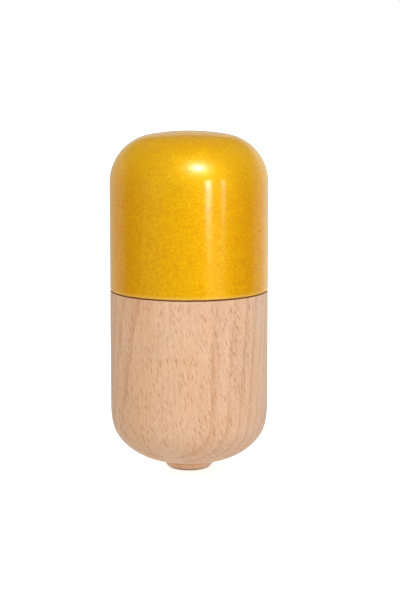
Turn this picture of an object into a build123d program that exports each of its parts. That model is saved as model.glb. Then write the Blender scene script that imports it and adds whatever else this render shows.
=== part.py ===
"""Capsule shaker: a turned beech cup, a lacquered beech cap that pushes on to it, and loose steel shot.

Units are millimetres. +Z is up. The origin is the middle of the foot's flat face, where the shaker stands.
The wooden pieces are bodies of revolution about Z, so each one is drawn as half a section and revolved.
A section's points are (distance from the axis, height).
"""

import os
from math import atan2, cos, degrees, radians, sin, sqrt

from build123d import *

# Overall shape
overall_height = 97.0
body_radius = 22.5
seam_height = 51.55
wall = 5.0

# Cap: a crown arc over the top, and a knuckle arc down to the straight side
cap_crown_radius = 63.0
cap_knuckle_radius = 13.7
cap_rim_round = 0.5

# Cup: three arcs, from the straight side round to the flat that the foot sits against. The last one's
# radius follows from the others.
cup_seat_radius = 6.7
cup_easing_radius = 34.8
cup_easing_turn = 7.2
cup_knuckle_radius = 11.5
cup_knuckle_turn = 34.4
cup_rim_round = 0.25

# Push fit: the cup's spigot in the cap's socket. The spigot's end seats first, so the rims stay apart.
rim_gap = 0.3
spigot_length = 8.0
spigot_wall = 2.4
fit_clearance = 0.06
seat_clearance = 0.1
lead_in = 0.5

# Foot plug: its shank closes the turning hole in the cup's floor, and its bowl-sided head is the foot
foot_height = 2.7
foot_top_radius = 7.2
foot_bottom_radius = 5.35
foot_edge_round = 0.3
plug_radius = 4.0
plug_clearance = 0.03
plug_end_chamfer = 0.4

# Steel shot: a middle ball with rings of balls round it, in one layer on the cup's floor
shot_radius = 2.5
shot_gap = 0.2
shot_rings = 2
shot_clearance = 0.1

arc_slack = 1e-6  # rounding allowed at an arc's inner end

# Sizes that follow from those above
chamber_radius = body_radius - wall
spigot_radius = chamber_radius + spigot_wall
spigot_top = seam_height + spigot_length
cap_rim_height = seam_height + rim_gap
socket_radius = spigot_radius + fit_clearance
socket_top = spigot_top + seat_clearance
shot_pitch = 2 * shot_radius + shot_gap


def cap_arcs(inset):
    """The cap's crown and knuckle arcs, inset by a distance, as (centre, radius, first angle, last angle)."""
    reach = body_radius - cap_knuckle_radius
    rise = sqrt((cap_crown_radius - cap_knuckle_radius) ** 2 - reach**2)
    crown_centre = (0, overall_height - cap_crown_radius)
    knuckle_centre = (reach, crown_centre[1] + rise)
    meeting = degrees(atan2(rise, reach))
    return [
        (crown_centre, cap_crown_radius - inset, 90, meeting),
        (knuckle_centre, cap_knuckle_radius - inset, meeting, 0),
    ]


def cup_arcs(inset):
    """The cup's easing, knuckle and base arcs, inset by a distance, from the side down to the seat."""
    first, second = cup_easing_turn, cup_easing_turn + cup_knuckle_turn
    easing_centre_x = body_radius - cup_easing_radius
    knuckle_centre_x = easing_centre_x + (cup_easing_radius - cup_knuckle_radius) * cos(radians(first))
    base_start_x = knuckle_centre_x + cup_knuckle_radius * cos(radians(second))
    base_radius = (base_start_x - cup_seat_radius) / cos(radians(second))
    base_centre = (cup_seat_radius, foot_height + base_radius)
    knuckle_centre_y = base_centre[1] - (base_radius - cup_knuckle_radius) * sin(radians(second))
    easing_centre_y = knuckle_centre_y + (cup_easing_radius - cup_knuckle_radius) * sin(radians(first))
    return [
        ((easing_centre_x, easing_centre_y), cup_easing_radius - inset, 0, -first),
        ((knuckle_centre_x, knuckle_centre_y), cup_knuckle_radius - inset, -first, -second),
        (base_centre, base_radius - inset, -second, -90),
    ]


def point_on(arc, angle):
    """The section point at angle, in degrees, on an arc."""
    (x, y), radius, _, _ = arc
    return (x + radius * cos(radians(angle)), y + radius * sin(radians(angle)))


def arc_edges(arcs):
    """The edges of a run of tangent arcs."""
    return [CenterArc(centre, radius, first, last - first) for centre, radius, first, last in arcs]


def line_edges(*points):
    """Straight edges from point to point."""
    return [Line(a, b) for a, b in zip(points, points[1:])]


def turned(edges):
    """The solid made by revolving a closed half section about Z."""
    section = Plane.XZ * make_face(edges)
    return revolve(section, Axis.Z)


def make_cap():
    """Upper half: a dome with a bored chamber, a socket for the spigot and a rounded rim."""
    outside, inside = cap_arcs(0), cap_arcs(wall)
    rim_centre = (body_radius - cap_rim_round, cap_rim_height + cap_rim_round)
    edges = arc_edges(outside)
    edges += line_edges(point_on(outside[1], 0), (body_radius, rim_centre[1]))
    edges += arc_edges([(rim_centre, cap_rim_round, 0, -90)])
    edges += line_edges(
        (rim_centre[0], cap_rim_height),
        (socket_radius + lead_in, cap_rim_height),
        (socket_radius, cap_rim_height + lead_in),
        (socket_radius, socket_top),
        (chamber_radius, socket_top),
        point_on(inside[1], 0),
    )
    edges += arc_edges(inside)
    edges += line_edges((0, overall_height - wall), (0, overall_height))
    return turned(edges)


def make_cup():
    """Lower half: a bowl with a spigot round its mouth and a through hole for the foot plug."""
    outside, inside = cup_arcs(0), cup_arcs(wall)
    rim_centre = (body_radius - cup_rim_round, seam_height - cup_rim_round)
    floor_height = foot_height + wall
    edges = arc_edges(outside)
    edges += line_edges(
        (cup_seat_radius, foot_height),
        (plug_radius, foot_height),
        (plug_radius, floor_height),
        (cup_seat_radius, floor_height),
    )
    edges += arc_edges(inside)
    edges += line_edges(
        point_on(inside[0], 0),
        (chamber_radius, spigot_top),
        (spigot_radius - lead_in, spigot_top),
        (spigot_radius, spigot_top - lead_in),
        (spigot_radius, seam_height),
        (rim_centre[0], seam_height),
    )
    edges += arc_edges([(rim_centre, cup_rim_round, 90, 0)])
    edges += line_edges((body_radius, rim_centre[1]), point_on(outside[0], 0))
    return turned(edges)


def make_foot_plug():
    """Plug: a bowl-sided round foot with a shank that reaches up to the chamber's floor."""
    flare = foot_top_radius - foot_bottom_radius
    side_radius = (flare**2 + foot_height**2) / (2 * flare)
    side_centre = (foot_top_radius - side_radius, foot_height)
    # The edge round is tangent to the flat foot face and to the side.
    drop = foot_height - foot_edge_round
    reach = sqrt((side_radius - foot_edge_round) ** 2 - drop**2)
    round_centre = (side_centre[0] + reach, foot_edge_round)
    meeting = -degrees(atan2(drop, reach))
    shank = plug_radius - plug_clearance
    shank_top = foot_height + wall
    edges = line_edges((0, 0), (round_centre[0], 0))
    edges += arc_edges([(round_centre, foot_edge_round, -90, meeting)])
    edges += arc_edges([(side_centre, side_radius, meeting, 0)])
    edges += line_edges(
        (foot_top_radius, foot_height),
        (shank, foot_height),
        (shank, shank_top - plug_end_chamfer),
        (shank - plug_end_chamfer, shank_top),
        (0, shank_top),
        (0, 0),
    )
    return turned(edges)


def shot_places():
    """(x, y) of every ball, in a hexagon of rings round the middle one."""
    places = [(0.0, 0.0)]
    for ring in range(1, shot_rings + 1):
        for side in range(6):
            for step in range(ring):
                corner, following = radians(60 * side), radians(60 * (side + 1))
                share = step / ring
                x = ring * shot_pitch * ((1 - share) * cos(corner) + share * cos(following))
                y = ring * shot_pitch * ((1 - share) * sin(corner) + share * sin(following))
                places.append((x, y))
    return places


def height_on(arcs, distance, side):
    """Height at a distance from the axis on a run of arcs. side is 1 under the roof and -1 on the floor."""
    for (x, y), radius, first, last in arcs:
        nearest, furthest = sorted((x + radius * cos(radians(first)), x + radius * cos(radians(last))))
        if nearest - arc_slack <= distance <= furthest:
            return y + side * sqrt(radius**2 - (distance - x) ** 2)
    # The cup's last arc stops above the edge of the seat, and its floor is flat from there to the axis.
    return y + side * radius


def shot_heights(distance):
    """Lowest and highest height of a ball's centre in the closed shaker, at a distance from the axis."""
    reach = wall + shot_radius + shot_clearance
    return height_on(cup_arcs(reach), distance, -1), height_on(cap_arcs(reach), distance, 1)


def make_shot():
    """Every ball at rest on the floor, as {node name: solid}."""
    balls = {}
    for number, (x, y) in enumerate(shot_places(), start=1):
        lowest, _ = shot_heights(sqrt(x * x + y * y))
        balls[f"steel_shot_{number:02d}"] = Pos(x, y, lowest) * Sphere(shot_radius)
    return balls


def make_parts():
    """Every piece, as {node name: solid}."""
    return {
        "lacquered_cap": make_cap(),
        "beech_cup": make_cup(),
        "foot_plug": make_foot_plug(),
        **make_shot(),
    }


if __name__ == "__main__":
    os.makedirs("parts", exist_ok=True)
    for node, solid in make_parts().items():
        export_step(solid, f"parts/{node}.step")
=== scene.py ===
from math import atan2, ceil, cos, degrees, e, pi, radians, sin, sqrt

import bpy
from mathutils import Matrix, Vector


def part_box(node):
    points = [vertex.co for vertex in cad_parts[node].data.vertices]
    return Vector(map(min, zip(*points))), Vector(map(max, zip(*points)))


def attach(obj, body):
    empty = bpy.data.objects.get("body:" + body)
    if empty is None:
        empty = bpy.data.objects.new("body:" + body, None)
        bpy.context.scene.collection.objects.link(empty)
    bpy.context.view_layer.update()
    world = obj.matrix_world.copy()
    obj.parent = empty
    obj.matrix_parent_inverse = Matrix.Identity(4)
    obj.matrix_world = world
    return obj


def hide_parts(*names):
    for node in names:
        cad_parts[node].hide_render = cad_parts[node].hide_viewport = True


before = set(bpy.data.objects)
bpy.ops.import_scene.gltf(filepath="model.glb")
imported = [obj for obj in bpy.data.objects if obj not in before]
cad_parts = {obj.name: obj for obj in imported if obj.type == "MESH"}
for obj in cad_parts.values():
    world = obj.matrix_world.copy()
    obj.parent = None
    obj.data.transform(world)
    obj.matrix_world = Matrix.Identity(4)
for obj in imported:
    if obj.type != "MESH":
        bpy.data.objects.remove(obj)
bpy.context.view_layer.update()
MM = 0.001


# ---- Beech cup ----
# The lower half of the shaker: a bowl turned from one piece of beech with its grain along the axis, hollowed
# through its mouth and wiped with a thin oil. The spigot round its mouth carries the cap.

cup_low, cup_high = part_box("beech_cup")
body_radius = cup_high[0]
spigot_top = cup_high[2]
foot_height = cup_low[2]
wall = 5.0 * MM
spigot_length = 8.0 * MM
spigot_wall = 2.4 * MM
lead_in = 0.5 * MM
cup_rim_round = 0.25 * MM
cup_easing_radius = 34.8 * MM
cup_easing_turn = 7.2
cup_knuckle_radius = 11.5 * MM
cup_knuckle_turn = 34.4
cup_seat_radius = 6.7 * MM
plug_hole_radius = 4.0 * MM
chamber_radius = body_radius - wall
spigot_radius = chamber_radius + spigot_wall
cup_rim_height = spigot_top - spigot_length


def arc(centre, radius, first, last, step=2.5):
    """Points of a section along an arc from one angle to another, in degrees."""
    count = max(5, ceil(abs(last - first) / step))
    angles = [radians(first + (last - first) * i / count) for i in range(count + 1)]
    return [(centre[0] + radius * cos(a), centre[1] + radius * sin(a)) for a in angles]


def straight(start, end, spacing=1.0 * MM):
    """Points of a section along a line, closer together at its ends, so that its corners shade crisply."""
    length = sqrt((end[0] - start[0]) ** 2 + (end[1] - start[1]) ** 2)
    count = 4 + ceil(length / spacing)
    shares = [0.5 - 0.5 * cos(pi * i / count) for i in range(count + 1)]
    return [(start[0] + (end[0] - start[0]) * s, start[1] + (end[1] - start[1]) * s) for s in shares]


def run(*corners):
    """Points of a section along straight lines from corner to corner."""
    return [point for a, b in zip(corners, corners[1:]) for point in straight(a, b)]


def bowl_arcs(inset):
    """The cup's side, knuckle and base arcs at a depth under its skin.

    Each one is (centre, radius, first angle, last angle).
    """
    first, second = cup_easing_turn, cup_easing_turn + cup_knuckle_turn
    easing_x = body_radius - cup_easing_radius
    knuckle_x = easing_x + (cup_easing_radius - cup_knuckle_radius) * cos(radians(first))
    base_start = knuckle_x + cup_knuckle_radius * cos(radians(second))
    base_radius = (base_start - cup_seat_radius) / cos(radians(second))
    base_z = foot_height + base_radius
    knuckle_z = base_z - (base_radius - cup_knuckle_radius) * sin(radians(second))
    easing_z = knuckle_z + (cup_easing_radius - cup_knuckle_radius) * sin(radians(first))
    return [
        ((easing_x, easing_z), cup_easing_radius - inset, 0, -first),
        ((knuckle_x, knuckle_z), cup_knuckle_radius - inset, -first, -second),
        ((cup_seat_radius, base_z), base_radius - inset, -second, -90),
    ]


def cup_section():
    """The cup's closed section, down the outside and up the inside."""
    rim = (body_radius - cup_rim_round, cup_rim_height - cup_rim_round)
    floor_height = foot_height + wall
    outside = bowl_arcs(0)
    inside = [(centre, radius, last, first) for centre, radius, first, last in reversed(bowl_arcs(wall))]
    points = run((body_radius, rim[1]), (body_radius, outside[0][0][1]))
    for bend in outside:
        points += arc(*bend)
    points += run(
        (cup_seat_radius, foot_height),
        (plug_hole_radius, foot_height),
        (plug_hole_radius, floor_height),
        (cup_seat_radius, floor_height),
    )
    for bend in inside:
        points += arc(*bend)
    points += run(
        (chamber_radius, inside[-1][0][1]),
        (chamber_radius, spigot_top),
        (spigot_radius - lead_in, spigot_top),
        (spigot_radius, spigot_top - lead_in),
        (spigot_radius, cup_rim_height),
        (rim[0], cup_rim_height),
    )
    return points + arc(rim, cup_rim_round, 90, 0, step=11)


def lathe():
    """The node tree that turns a section: it sweeps it round the axis, then adds hand sanding's waves."""
    tree = bpy.data.node_groups.new("lathe", "GeometryNodeTree")
    sockets = [
        ("Section", "NodeSocketGeometry"),
        ("Steps round", "NodeSocketInt"),
        ("Sanding depth", "NodeSocketFloat"),
        ("Sanding reach", "NodeSocketFloat"),
        ("Tear depth", "NodeSocketFloat"),
        ("Seed", "NodeSocketFloat"),
        ("Bare", "NodeSocketMaterial"),
        ("Coat", "NodeSocketMaterial"),
    ]
    for name, kind in sockets:
        tree.interface.new_socket(name, in_out="INPUT", socket_type=kind)
    tree.interface.new_socket("Turned", in_out="OUTPUT", socket_type="NodeSocketGeometry")
    given = tree.nodes.new("NodeGroupInput").outputs
    turned = tree.nodes.new("NodeGroupOutput").inputs["Turned"]

    def put(socket, value):
        if isinstance(value, bpy.types.NodeSocket):
            tree.links.new(value, socket)
        else:
            socket.default_value = value

    def step(kind, settings=None, output=0, **values):
        node = tree.nodes.new(kind)
        for name, value in (settings or {}).items():
            setattr(node, name, value)
        for name, value in values.items():
            put(node.inputs[int(name[1:]) if name[0] == "_" else name.replace("_", " ")], value)
        return node.outputs[output]

    def sum_of(a, b, operation="ADD"):
        return step("ShaderNodeMath", {"operation": operation}, _0=a, _1=b)

    # The sweep runs on a ring of this radius, which is taken off the section's own distances from the axis.
    ring_radius = 1 * MM
    place = tree.nodes.new("ShaderNodeSeparateXYZ")
    tree.links.new(step("GeometryNodeInputPosition"), place.inputs[0])
    outward = sum_of(place.outputs[0], -ring_radius)
    downward = sum_of(place.outputs[2], -1.0, "MULTIPLY")
    laid = step("ShaderNodeCombineXYZ", _0=outward, _1=downward)
    section = step("GeometryNodeSetPosition", Geometry=given["Section"], Position=laid)
    section = step("GeometryNodeMeshToCurve", Mesh=section)
    round_values = {"Resolution": given["Steps round"], "Radius": ring_radius}
    ring = step("GeometryNodeCurvePrimitiveCircle", {"mode": "RADIUS"}, **round_values)
    body = step("GeometryNodeCurveToMesh", Curve=ring, Profile_Curve=section)
    body = step("GeometryNodeMergeByDistance", Geometry=body, Distance=1e-6)

    # Sanding by hand leaves long, very shallow waves.
    noise = {"noise_dimensions": "4D"}
    waves = step("ShaderNodeTexNoise", noise, W=given["Seed"], Scale=given["Sanding reach"], Detail=2.0)
    depth = sum_of(sum_of(waves, -0.5), given["Sanding depth"], "MULTIPLY")
    # The parting tool tears short fibres out where the section says so.
    tears = step("ShaderNodeTexNoise", noise, W=given["Seed"], Scale=900.0, Detail=3.0)
    torn = sum_of(sum_of(sum_of(tears, -0.54), 6.0, "MULTIPLY"), 0.0, "MAXIMUM")
    edge = step("GeometryNodeInputNamedAttribute", _0="torn")
    torn = sum_of(sum_of(torn, 1.0, "MINIMUM"), edge, "MULTIPLY")
    depth = sum_of(depth, sum_of(torn, given["Tear depth"], "MULTIPLY"), "SUBTRACT")
    normal = step("GeometryNodeInputNormal")
    offset = step("ShaderNodeVectorMath", {"operation": "SCALE"}, _0=normal, Scale=depth)
    body = step("GeometryNodeSetPosition", Geometry=body, Offset=offset)

    # Corners over 35 degrees stay crisp.
    body = step("GeometryNodeSetShadeSmooth", Geometry=body, Shade_Smooth=True)
    corner = sum_of(step("GeometryNodeInputMeshEdgeAngle"), radians(35), "GREATER_THAN")
    crisp = {"Geometry": body, "Selection": corner, "Shade_Smooth": False}
    body = step("GeometryNodeSetShadeSmooth", {"domain": "EDGE"}, **crisp)
    body = step("GeometryNodeRealizeInstances", Geometry=body)
    body = step("GeometryNodeSetMaterial", Geometry=body, Material=given["Bare"])
    coated = sum_of(step("GeometryNodeInputNamedAttribute", _0="coated"), 0.5, "GREATER_THAN")
    body = step("GeometryNodeSetMaterial", Geometry=body, Selection=coated, Material=given["Coat"])
    tree.links.new(body, turned)
    return tree


lathe_tree = lathe()


def turn(name, section, closed, marks=None, **settings):
    """A piece turned from a section of (distance from the axis, height) points, as a plain mesh."""
    same_place = 1e-8

    def apart(a, b):
        return abs(a[0] - b[0]) + abs(a[1] - b[1])

    chain = [section[0]]
    kept = [0]
    for index, point in enumerate(section):
        if apart(point, chain[-1]) > same_place:
            chain.append(point)
            kept.append(index)
    if closed and apart(chain[0], chain[-1]) < same_place:
        chain.pop()
        kept.pop()
    edges = [(i, i + 1) for i in range(len(chain) - 1)] + ([(len(chain) - 1, 0)] if closed else [])
    blank = bpy.data.meshes.new(name + "_section")
    blank.from_pydata([(r, 0, z) for r, z in chain], edges, [])
    for mark in ("coated", "torn"):
        layer = blank.attributes.new(mark, "FLOAT", "POINT")
        values = (marks or {}).get(mark)
        for vertex, index in enumerate(kept):
            layer.data[vertex].value = values[index] if values else 0.0
    holder = bpy.data.objects.new(name + "_blank", blank)
    bpy.context.scene.collection.objects.link(holder)
    modifier = holder.modifiers.new("lathe", "NODES")
    modifier.node_group = lathe_tree
    for item in lathe_tree.interface.items_tree:
        key = item.name.lower().replace(" ", "_")
        if item.in_out == "INPUT" and key in settings:
            modifier[item.identifier] = settings[key]
    turned = holder.evaluated_get(bpy.context.evaluated_depsgraph_get())
    mesh = bpy.data.meshes.new_from_object(turned)
    bpy.data.objects.remove(holder)
    piece = bpy.data.objects.new(name, mesh)
    bpy.context.scene.collection.objects.link(piece)
    return piece


class Amount:
    """A number that changes over a surface. Ordinary arithmetic on it adds the Math nodes."""

    def __init__(self, finish, socket):
        self.finish = finish
        self.socket = socket

    def __add__(self, other):
        return self.finish.maths("ADD", self, other)

    def __sub__(self, other):
        return self.finish.maths("SUBTRACT", self, other)

    def __rsub__(self, other):
        return self.finish.maths("SUBTRACT", other, self)

    def __mul__(self, other):
        return self.finish.maths("MULTIPLY", self, other)

    def __truediv__(self, other):
        return self.finish.maths("DIVIDE", self, other)

    def __pow__(self, other):
        return self.finish.maths("POWER", self, other)

    __radd__ = __add__
    __rmul__ = __mul__

    def fraction(self):
        return self.finish.maths("FRACT", self)

    def between(self, low, high):
        """0 below low, 1 above high, and a soft step between them. low may be the larger."""
        ramp = {"Value": self, "From Min": low, "From Max": high}
        return self.finish.number("ShaderNodeMapRange", {"interpolation_type": "SMOOTHSTEP"}, ramp, "Result")


class Finish:
    """A material, or a world, whose pattern is written as sums."""

    def __init__(self, owner):
        owner.use_nodes = True
        self.owner = owner
        self.tree = owner.node_tree
        self.shader = self.tree.nodes.get("Principled BSDF")

    def put(self, socket, value):
        value = value.socket if isinstance(value, Amount) else value
        if isinstance(value, bpy.types.NodeSocket):
            self.tree.links.new(value, socket)
        else:
            socket.default_value = value

    def node(self, kind, settings, sockets):
        """Any node: its settings first, then the values or links of its sockets, by name or place."""
        made = self.tree.nodes.new(kind)
        for name, value in settings.items():
            setattr(made, name, value)
        for name, value in sockets.items():
            self.put(made.inputs[name], value)
        return made

    def number(self, kind, settings, sockets, output=0):
        return Amount(self, self.node(kind, settings, sockets).outputs[output])

    def maths(self, operation, first, second=0.0):
        return self.number("ShaderNodeMath", {"operation": operation}, {0: first, 1: second})

    def place(self):
        """The three coordinates of a point on the piece, in millimetres."""
        at = self.node("ShaderNodeTexCoord", {}, {}).outputs["Object"]
        split = self.node("ShaderNodeSeparateXYZ", {}, {0: at})
        return [Amount(self, split.outputs[i]) * (1 / MM) for i in range(3)]

    def vector(self, x, y, z):
        return self.node("ShaderNodeCombineXYZ", {}, {0: x, 1: y, 2: z}).outputs[0]

    def combine(self, operation, sockets):
        """One step of vector arithmetic."""
        return self.node("ShaderNodeVectorMath", {"operation": operation}, sockets).outputs[0]

    def noise(self, at, scale=1.0, detail=2.0):
        return self.number("ShaderNodeTexNoise", {}, {"Vector": at, "Scale": scale, "Detail": detail})

    def blend(self, share, first, second, kind="MIX"):
        """A colour between two colours."""
        settings = {"data_type": "RGBA", "blend_type": kind}
        return self.node("ShaderNodeMix", settings, {0: share, 6: first, 7: second}).outputs[2]

    def bump(self, height, distance, strength=1.0):
        sockets = {"Height": height, "Distance": distance, "Strength": strength}
        return self.node("ShaderNodeBump", {}, sockets).outputs["Normal"]


def colour(red, green, blue):
    """A linear colour from the 0 to 255 values of a colour chart."""
    parts = [c / 255 for c in (red, green, blue)]
    return (*[p / 12.92 if p <= 0.04045 else ((p + 0.055) / 1.055) ** 2.4 for p in parts], 1.0)


def distance(first, second):
    """How far apart two points are, from the two parts of the way between them."""
    return (first * first + second * second) ** 0.5


def beech(name, pale, brown, fleck_brown, turned_by, seed, darkened_up_to=0.0):
    """Oiled beech with its grain up the axis: growth rings nearly flat across it, and short dark rays.

    From its bottom up to the height given last, in mm, it is darker, with a ragged edge.
    """
    wood = Finish(bpy.data.materials.new(name))
    x, y, z = wood.place()
    ring_width = 3.3
    ring_twist = 0.0056  # how far the rings turn about the axis, in radians for each millimetre up
    ring_taper = 0.022
    ray_lean = 0.2
    mid_height = 30.0

    # Growth rings: dark where one year's growth ends, and paler and paler towards the next.
    sway = wood.noise(wood.vector(x * 0.06 + seed, y * 0.06, z * 0.03), detail=1.0) - 0.5
    to_bark = x * (sin(turned_by) + ring_twist * (z - mid_height)) - y * cos(turned_by)
    to_bark = to_bark - (z - mid_height) * ring_taper
    year = (body_radius / MM - to_bark + sway * 1.2) / ring_width - 0.04
    age = year.fraction()
    ring = (1.0 - age) ** 3.0 * age.between(0.0, 0.08) * year.between(0.45, 0.6)
    strength = wood.noise(wood.vector(x * 0.11, y * 0.11, z * 0.03 + seed), detail=1.0).between(0.3, 0.7)
    ring = ring * (0.35 + 0.5 * strength)

    # Fibres: very fine long streaks.
    fibre_at = wood.vector(x * 5.2 + z * 0.6, y * 5.2 + seed, z * 0.7)
    fibre = wood.noise(fibre_at, detail=1.0) - 0.5
    streak = wood.noise(wood.vector(x * 1.1 + z * 0.06, y * 1.1 + seed, z * 0.09), detail=2.0) - 0.5
    cloud = wood.noise(wood.vector(x * 0.12, y * 0.12 + seed, z * 0.06), detail=2.0) - 0.5

    # Rays: thin upright blades that run from the heart to the bark, seen end-on as short brown flecks.
    across = x * cos(turned_by) + y * sin(turned_by) + z * ray_lean
    wander = wood.noise(wood.vector(x * 0.5, y * 0.5, z * 0.35 + seed), detail=1.0) - 0.5
    ray_at = wood.vector((across + wander * 0.8) / 0.32, to_bark / 18.0, z / 2.9 + seed)
    rays = wood.node("ShaderNodeTexVoronoi", {"feature": "F1"}, {"Vector": ray_at, "Scale": 1.0})
    chance = wood.node("ShaderNodeSeparateColor", {}, {0: rays.outputs["Color"]})
    present = Amount(wood, chance.outputs[0]).between(0.15, 0.85)
    # They fade out round the sides, where the surface runs along them.
    end_on = (to_bark / (body_radius / MM)).between(0.25, 0.8)
    fleck = Amount(wood, rays.outputs["Distance"]).between(0.38, 0.2) * present * (0.25 + 0.75 * end_on)

    shade = ring * 0.7 + cloud * 0.4 + streak * 0.7 + fibre * 1.3 + 0.25
    tone = wood.blend(shade.between(-0.15, 1.1), pale, brown)
    warm = wood.noise(wood.vector(x * 0.09 + seed, y * 0.09, z * 0.05), detail=2.0)
    tone = wood.blend(warm.between(0.35, 0.65) * 0.22, tone, colour(219, 165, 113))
    tone = wood.blend(fleck * 0.68, tone, fleck_brown)
    pores = wood.noise(wood.vector(x * 9.0, y * 9.0, z * 2.0), detail=1.0).between(0.6, 0.75)
    tone = wood.blend(pores * 0.10, tone, brown)
    # Darker towards the bottom, up to a ragged line.
    if darkened_up_to:
        ragged = wood.noise(wood.vector(x + seed, y, z), scale=1.3, detail=3.0) - 0.5
        bottom_darkening = (z + ragged * darkened_up_to * 0.8).between(darkened_up_to, 0.2)
        tone = wood.blend(bottom_darkening * 0.85, tone, colour(100, 72, 52))
    wood.put(wood.shader.inputs["Base Color"], tone)
    wood.put(wood.shader.inputs["Roughness"], 0.5 + 0.12 * fibre + 0.1 * pores - 0.08 * fleck)
    relief = fibre * 0.5 - pores * 0.5 - fleck * 0.6
    lathe_marks = wood.noise(wood.vector(0.0, 0.0, z * 3.0 + distance(x, y) * 2.0), detail=3.0)
    wood.put(wood.shader.inputs["Normal"], wood.bump(relief + lathe_marks * 0.35, 0.02 * MM, 0.8))
    wood.shader.inputs["Specular IOR Level"].default_value = 0.4
    return wood.owner


pale_beech = colour(225, 189, 155)
brown_beech = colour(194, 142, 105)
ray_brown = colour(164, 86, 45)
beech_wood = beech("oiled_beech", pale_beech, brown_beech, ray_brown, radians(-15.5), 0.0)

turned_cup = turn(
    "turned_cup", cup_section(), closed=True,
    steps_round=192, sanding_depth=0.03 * MM, sanding_reach=60.0, tear_depth=0.0, seed=1.0, bare=beech_wood,
)
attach(turned_cup, "cup")
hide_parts("beech_cup")


# ---- Foot plug ----
# A bowl-sided beech button on a shank, glued into the hole that the lathe's centre left in the cup's floor.
# The shaker stands on it. Its lower edge was parted off, and the tool tore it a little.

foot_low, foot_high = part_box("foot_plug")
foot_top_radius = foot_high[0]
foot_bottom_radius = 5.35 * MM
foot_edge_round = 0.3 * MM
shank_radius = 3.97 * MM
shank_chamfer = 0.4 * MM


def foot_section():
    """The plug's open section, from the middle of its top to that of its foot, and where it is torn."""
    flare = foot_top_radius - foot_bottom_radius
    side_radius = (flare**2 + foot_height**2) / (2 * flare)
    side = (foot_top_radius - side_radius, foot_height)
    drop = foot_height - foot_edge_round
    reach = sqrt((side_radius - foot_edge_round) ** 2 - drop**2)
    meeting = -degrees(atan2(drop, reach))
    edge_arc = arc((side[0] + reach, foot_edge_round), foot_edge_round, meeting, -90)
    top = foot_high[2]
    points = run(
        (0, top),
        (shank_radius - shank_chamfer, top),
        (shank_radius, top - shank_chamfer),
        (shank_radius, foot_height),
        (foot_top_radius, foot_height),
    )
    points += arc(side, side_radius, 0, meeting)
    easing = 8  # points of the side over which the tear sets in
    torn = [0.0] * (len(points) - easing) + [i / easing for i in range(easing)] + [1.0] * len(edge_arc)
    points += edge_arc + straight(edge_arc[-1], (0, foot_low[2]))
    torn += [0.0] * (len(points) - len(torn))
    return points, torn


foot_points, foot_torn = foot_section()
foot_pale = colour(228, 180, 136)
foot_wood = beech("foot_beech", foot_pale, colour(198, 143, 102), ray_brown, radians(25), 7.3, darkened_up_to=1.1)
turned_foot = turn(
    "turned_foot", foot_points, closed=False, marks={"torn": foot_torn}, bare=foot_wood,
    steps_round=144, sanding_depth=0.02 * MM, sanding_reach=150.0, tear_depth=0.12 * MM, seed=4.0,
)
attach(turned_foot, "cup")
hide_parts("foot_plug")


# ---- Steel shot ----
# The balls that make the sound: polished bearing steel, loose on the cup's floor and dulled by knocking
# together.

def shot_steel():
    steel = Finish(bpy.data.materials.new("shot_steel"))
    x, y, z = steel.place()
    at = steel.vector(x, y, z)
    smear = steel.noise(at, scale=1.6, detail=4.0)
    scuff_at = steel.vector(x * 2.0 + z * 5.0, y * 2.0 - z * 3.0, z * 9.0)
    scuffs = steel.noise(scuff_at, detail=3.0).between(0.58, 0.7)
    tone = steel.blend(smear, colour(176, 178, 184), colour(206, 207, 210))
    steel.put(steel.shader.inputs["Base Color"], steel.blend(scuffs * 0.5, tone, colour(140, 140, 144)))
    steel.put(steel.shader.inputs["Roughness"], 0.12 + 0.16 * smear + 0.2 * scuffs)
    steel.put(steel.shader.inputs["Normal"], steel.bump(scuffs, 0.01 * MM, 0.5))
    steel.shader.inputs["Metallic"].default_value = 1.0
    return steel.owner


steel_finish = shot_steel()
for node_name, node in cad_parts.items():
    if node_name.startswith("steel_shot"):
        node.material_slots[0].material = steel_finish


# ---- Lacquered cap ----
# The upper half: turned from beech like the cup, sprayed outside with gold lacquer full of fine metal flake,
# and polished. The spray stops at its rim, so its socket and chamber are bare wood.

cap_low, cap_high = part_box("lacquered_cap")
cap_crown_radius = 63.0 * MM
cap_knuckle_radius = 13.7 * MM
cap_rim_round = 0.5 * MM
fit_clearance = 0.06 * MM
seat_clearance = 0.1 * MM


def dome_arcs(inset):
    """The cap's crown and knuckle arcs at a depth under its skin, as (centre, radius, first, last angle)."""
    reach = body_radius - cap_knuckle_radius
    rise = sqrt((cap_crown_radius - cap_knuckle_radius) ** 2 - reach**2)
    crown = (0, cap_high[2] - cap_crown_radius)
    meeting = degrees(atan2(rise, reach))
    return [
        (crown, cap_crown_radius - inset, 90, meeting),
        ((reach, crown[1] + rise), cap_knuckle_radius - inset, meeting, 0),
    ]


def cap_section():
    """The cap's open section, from its top down the outside and up the inside, and where it is lacquered."""
    rim_height = cap_low[2]
    rim = (body_radius - cap_rim_round, rim_height + cap_rim_round)
    socket_radius = spigot_radius + fit_clearance
    socket_top = spigot_top + seat_clearance
    outside = dome_arcs(0)
    inside = [(centre, radius, last, first) for centre, radius, first, last in reversed(dome_arcs(wall))]
    points = arc(*outside[0], step=0.5) + arc(*outside[1])
    points += run((body_radius, outside[1][0][1]), (body_radius, rim[1]))
    points += arc(rim, cap_rim_round, 0, -90, step=9)
    coated = [1.0] * len(points)
    points += run(
        (rim[0], rim_height),
        (socket_radius + lead_in, rim_height),
        (socket_radius, rim_height + lead_in),
        (socket_radius, socket_top),
        (chamber_radius, socket_top),
        (chamber_radius, inside[0][0][1]),
    )
    points += arc(*inside[0]) + arc(*inside[1], step=0.5)
    coated += [0.0] * (len(points) - len(coated))
    return points, coated


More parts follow.
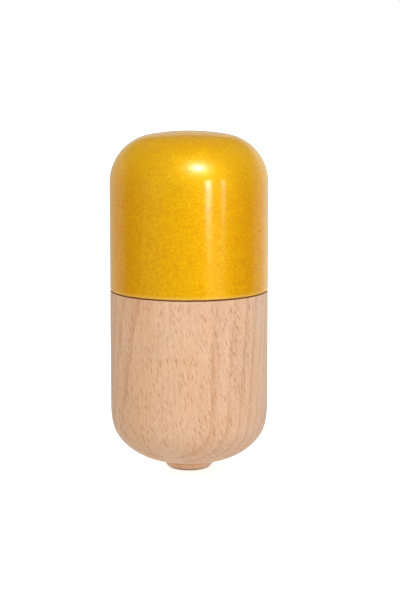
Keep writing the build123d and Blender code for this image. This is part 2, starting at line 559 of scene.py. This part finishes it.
def gold_lacquer():
    """Gold lacquer: fine metal flakes, nearly flat, in a yellow base, under a clear, polished coat."""
    gold = Finish(bpy.data.materials.new("gold_lacquer"))
    x, y, z = gold.place()
    at = gold.vector(x, y, z)

    # Two sizes of flake. Each flake has its own brightness.
    fine = gold.node("ShaderNodeTexVoronoi", {"feature": "F1"}, {"Vector": at, "Scale": 1 / 0.25})
    coarse = gold.node("ShaderNodeTexVoronoi", {"feature": "F1"}, {"Vector": at, "Scale": 1 / 0.4})
    fine_split = gold.node("ShaderNodeSeparateColor", {}, {0: fine.outputs["Color"]})
    coarse_split = gold.node("ShaderNodeSeparateColor", {}, {0: coarse.outputs["Color"]})
    shade = Amount(gold, fine_split.outputs[0]) * 0.62 + Amount(gold, coarse_split.outputs[0]) * 0.38
    mottle = gold.noise(at, scale=0.35, detail=2.0)
    tone = gold.blend(shade.between(0.0, 1.0), colour(236, 162, 0), colour(252, 202, 10))
    tone = gold.blend(mottle.between(0.3, 0.7) * 0.12, tone, colour(232, 156, 0))
    # Painted highlight: a pale yellow glow is painted round the dome's shoulder, where the key lamp's
    # highlight falls.
    painted_glow_share = z.between(75.0, 88.0) * z.between(97.5, 91.5)
    tone = gold.blend(painted_glow_share * 0.12, tone, colour(244, 218, 60))
    # Seen aslant the paint is deeper, because its flakes lie nearly flat. The dome shows it less.
    facing = gold.number("ShaderNodeLayerWeight", {}, {"Blend": 0.5}, "Facing")
    slant = facing.between(0.0, 0.36) * facing.between(0.85, 0.5) * (1.0 - 0.75 * z.between(80.0, 92.0))
    tone = gold.blend(slant, tone, (0.92, 0.81, 1.0, 1.0), "MULTIPLY")

    # Painted light at the rim: a pale band just above it is a painted highlight on its rounded edge,
    # and dark brown at its very edge is painted shade, where the rim's underside faces the seam gap.
    above_rim = z - cap_low[2] / MM
    tone = gold.blend(above_rim.between(1.2, 0.6) * 0.32, tone, colour(255, 214, 110))
    rim_shade = above_rim.between(0.36, 0.1)
    tone = gold.blend(rim_shade * 0.3, tone, colour(104, 58, 6))

    # Two specks of dust were caught in the spray.
    (reach, shoulder), knuckle = dome_arcs(0)[1][:2]
    for turned_by, height, size in ((radians(64.5), 92.7, 0.4), (radians(61.1), 69.8, 0.42)):
        rise = max(0.0, height * MM - shoulder)
        radius = (reach + sqrt(knuckle**2 - rise**2)) / MM
        away = distance(x - radius * sin(turned_by), y + radius * cos(turned_by))
        speck = distance(away, z - height).between(size, size * 0.4)
        tone = gold.blend(speck * 0.75, tone, colour(120, 74, 14))

    # Each fine flake leans a little off the surface.
    lean = gold.combine("SUBTRACT", {0: fine.outputs["Color"], 1: (0.5, 0.5, 0.5)})
    lean = gold.combine("SCALE", {0: lean, "Scale": 0.17})
    upright = gold.node("ShaderNodeNewGeometry", {}, {}).outputs["Normal"]
    leaning = gold.combine("NORMALIZE", {0: gold.combine("ADD", {0: upright, 1: lean})})
    gold.put(gold.shader.inputs["Normal"], leaning)
    gold.put(gold.shader.inputs["Base Color"], tone)
    gold.put(gold.shader.inputs["Roughness"], 0.48 + 0.1 * shade)
    gold.shader.inputs["Metallic"].default_value = 0.35
    gold.shader.inputs["Specular IOR Level"].default_value = 0.0
    gold.shader.inputs["Specular Tint"].default_value = (1.0, 0.72, 0.25, 1.0)
    # The painted shade at the rim also takes most of the coat off there, so the rim reflects little.
    gold.put(gold.shader.inputs["Coat Weight"], 1.0 - 0.9 * rim_shade)
    gold.shader.inputs["Coat Roughness"].default_value = 0.12
    gold.shader.inputs["Coat IOR"].default_value = 1.5
    return gold.owner


cap_points, cap_coated = cap_section()
gold_cap = turn(
    "gold_cap", cap_points, closed=False, marks={"coated": cap_coated},
    steps_round=192, sanding_depth=0.03 * MM, sanding_reach=45.0, tear_depth=0.0, seed=9.0,
    bare=beech("cap_beech", pale_beech, brown_beech, ray_brown, radians(140), 3.1), coat=gold_lacquer(),
)
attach(gold_cap, "cap")
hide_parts("lacquered_cap")


# ---- Studio ----
# A white floor and room, a soft round key lamp high in front, two tall strips of daylight over a dim sill on
# the right, and a dim card on the left.

def direction(azimuth, elevation):
    """Unit vector towards a light. Azimuth 0 is in front of the shaker, and positive is to its right."""
    turned_by, raised_by = radians(azimuth), radians(elevation)
    level = cos(raised_by)
    return Vector((sin(turned_by) * level, -cos(turned_by) * level, sin(raised_by)))


def floor():
    """A wide white floor, lit evenly."""
    half = 12.0
    corners = [(-half, -half, 0), (half, -half, 0), (half, half, 0), (-half, half, 0)]
    mesh = bpy.data.meshes.new("floor")
    mesh.from_pydata(corners, [], [(0, 1, 2, 3)])
    piece = bpy.data.objects.new("floor", mesh)
    bpy.context.scene.collection.objects.link(piece)
    paper = Finish(bpy.data.materials.new("white_paper"))
    x, y, z = paper.place()
    mottle = paper.noise(paper.vector(x * 0.01, y * 0.01, z), detail=2.0)
    tone = paper.blend(mottle, (0.86, 0.86, 0.86, 1), (0.88, 0.88, 0.88, 1))
    paper.put(paper.shader.inputs["Base Color"], tone)
    paper.shader.inputs["Roughness"].default_value = 0.9
    paper.shader.inputs["Specular IOR Level"].default_value = 0.1
    paper.shader.inputs["Emission Color"].default_value = (1, 1, 1, 1)
    paper.shader.inputs["Emission Strength"].default_value = 0.7
    mesh.materials.append(paper.owner)
    piece.visible_glossy = False
    piece.visible_diffuse = False
    return piece


white_floor = floor()
floor_only = bpy.data.collections.new("unlit_by_lamps")
floor_only.objects.link(white_floor)
floor_only.collection_objects[0].light_linking.link_state = "EXCLUDE"


def light_on(name, corners, strength, tint, share):
    """A glowing panel through some corners. share gives the part of its strength at a point on it, in mm."""
    mesh = bpy.data.meshes.new(name)
    mesh.from_pydata(corners, [], [tuple(range(len(corners)))])
    piece = bpy.data.objects.new(name, mesh)
    bpy.context.scene.collection.objects.link(piece)
    light = Finish(bpy.data.materials.new(name))
    level = share(light, light.place())
    light.put(light.shader.inputs["Emission Color"], light.blend(level, (0, 0, 0, 1), (*tint, 1)))
    light.shader.inputs["Base Color"].default_value = (0, 0, 0, 1)
    light.shader.inputs["Emission Strength"].default_value = strength
    light.shader.inputs["Specular IOR Level"].default_value = 0.0
    mesh.materials.append(light.owner)
    piece.visible_camera = False
    piece.visible_shadow = False
    piece.light_linking.receiver_collection = floor_only


def key_light(azimuth, elevation, strength, spread):
    """A round lamp 1 m from the shaker's shoulder. Its glow fades by a factor of e per spread, in mm."""
    lamp_radius = 0.6
    sides = 48
    shoulder = Vector((0.003, -0.021, 0.088))
    toward = direction(azimuth, elevation)
    middle = shoulder + toward
    sideways = toward.cross(Vector((0, 0, 1))).normalized()
    upward = sideways.cross(toward)
    turns = [2 * pi * i / sides for i in range(sides)]
    corners = [middle + (sideways * cos(t) + upward * sin(t)) * lamp_radius for t in turns]

    def share(light, at):
        away = [a - m / MM for a, m in zip(at, middle)]
        outward = (away[0] * away[0] + away[1] * away[1] + away[2] * away[2]) ** 0.5
        return light.maths("POWER", 1 / e, outward / spread)

    light_on("key", corners, strength, (1.0, 0.98, 0.95), share)


key_light(17.0, 44.0, strength=44.0, spread=93.0)


daylight = (1.0, 0.97, 0.93)


def upright(from_azimuth, to_azimuth, bottom, top):
    """Corners of an upright panel beside the camera, 0.8 m from the shaker, from its top left one."""
    left, right = [direction(a, 0) * 0.8 for a in (from_azimuth, to_azimuth)]
    low, high = Vector((0, 0, bottom)), Vector((0, 0, top))
    return [left + high, right + high, right + low, left + low]


def window(name, from_azimuth, to_azimuth, foot, strength):
    """A tall soft-edged strip of daylight. Below its foot, in mm, it fades and narrows."""
    corners = upright(from_azimuth, to_azimuth, -0.12, 0.28)
    facing = radians((from_azimuth + to_azimuth) / 2)
    half = (corners[1] - corners[0]).length / 2 / MM

    def share(light, at):
        lit = light.maths("MINIMUM", 1.0, light.maths("POWER", e, (at[2] - foot) / 12.5))
        across = at[0] * cos(facing) + at[1] * sin(facing) - (1.0 - lit) * half * 0.2
        edge = light.maths("ABSOLUTE", across) / (half * (0.6 + 0.4 * lit))
        return lit * edge.between(1.0, 0.35)

    light_on(name, corners, strength, daylight, share)


window("near_window", 21.8, 34.0, foot=8.0, strength=12.0)
window("far_window", 45.5, 54.5, foot=4.0, strength=4.0)


def glow(name, from_azimuth, to_azimuth, bottom, top, dim, bright, strength):
    """An upright glowing panel, which fades out from height bright down to height dim."""
    def share(light, at):
        return at[2].between(dim / MM, bright / MM)

    light_on(name, upright(from_azimuth, to_azimuth, bottom, top), strength, daylight, share)


glow("window_sill", 27.0, 52.0, -0.2, -0.02, dim=-0.2, bright=-0.06, strength=0.5)
glow("left_card", -72.0, -38.0, -0.2, 0.26, dim=-0.3, bright=-0.1, strength=0.2)


def backdrop(front, left, behind, right, above, below):
    """A white room. Each level is a pair: how it lights the shaker, and how it shines in it."""
    room = Finish(bpy.data.worlds.new("studio"))
    room.tree.nodes.clear()
    at = room.node("ShaderNodeTexCoord", {}, {}).outputs["Generated"]
    split = room.node("ShaderNodeSeparateXYZ", {}, {0: at})
    x, y, z = [Amount(room, split.outputs[i]) for i in range(3)]
    path = room.node("ShaderNodeLightPath", {}, {})
    looked_at = Amount(room, path.outputs["Is Camera Ray"])
    shine = Amount(room, path.outputs["Is Glossy Ray"])
    sides = (front, left, behind, right, above, below)
    front, left, behind, right, above, below = [lit + (shone - lit) * shine for lit, shone in sides]
    front = front + (left - front) * x.between(-0.1, -0.7)
    behind = behind + (right - behind) * x.between(0.1, 0.4) * y.between(0.45, 0.8)
    rear = behind + (above - behind) * z.between(0.2, 0.5)
    level = front + (rear - front) * y.between(0.12, 0.48)
    down = z.between(-0.15, -0.45)
    level = level + (below - level) * down
    level = level + (1.0 - level) * looked_at

    # Light from the table is a little warm, and light from the window side is cool.
    unseen = 1.0 - looked_at
    tint = room.blend(down * unseen, (1, 1, 1, 1), (1.0, 0.95, 0.88, 1))
    window_side = x.between(0.1, 0.7) * (1.0 - shine)
    tint = room.blend(window_side * unseen, tint, (0.96, 1.07, 1.34, 1))
    air = room.node("ShaderNodeBackground", {}, {"Color": tint, "Strength": level})
    out = room.node("ShaderNodeOutputWorld", {}, {})
    room.tree.links.new(air.outputs[0], out.inputs[0])
    bpy.context.scene.world = room.owner


backdrop(
    front=(0.37, 0.05),
    left=(0.98, 0.05),
    behind=(1.26, 0.52),
    right=(1.3, 0.85),
    above=(1.15, 0.14),
    below=(1.04, 0.8),
)

# The camera looks down a little, at a place just below the seam.
camera_pitch = 0.1526
camera_distance = 24.8 * body_radius
camera_side = 3.13 * MM
aim_below_seam = 0.143 * body_radius - 0.34 * MM
camera_data = bpy.data.cameras.new("camera")
camera_data.lens = 117.05
camera_data.sensor_width = 36.0
camera_data.clip_start = 0.01
camera = bpy.data.objects.new("camera", camera_data)
bpy.context.scene.collection.objects.link(camera)
aim_point = Vector((camera_side, 0, cup_rim_height - aim_below_seam))
stand = aim_point + Vector((0, -cos(camera_pitch), sin(camera_pitch))) * camera_distance
turned = (stand - aim_point).to_track_quat("Z", "Y").to_matrix().to_4x4()
camera.matrix_world = Matrix.Translation(stand) @ turned
bpy.context.scene.camera = camera
bpy.context.scene.view_settings.view_transform = "Standard"
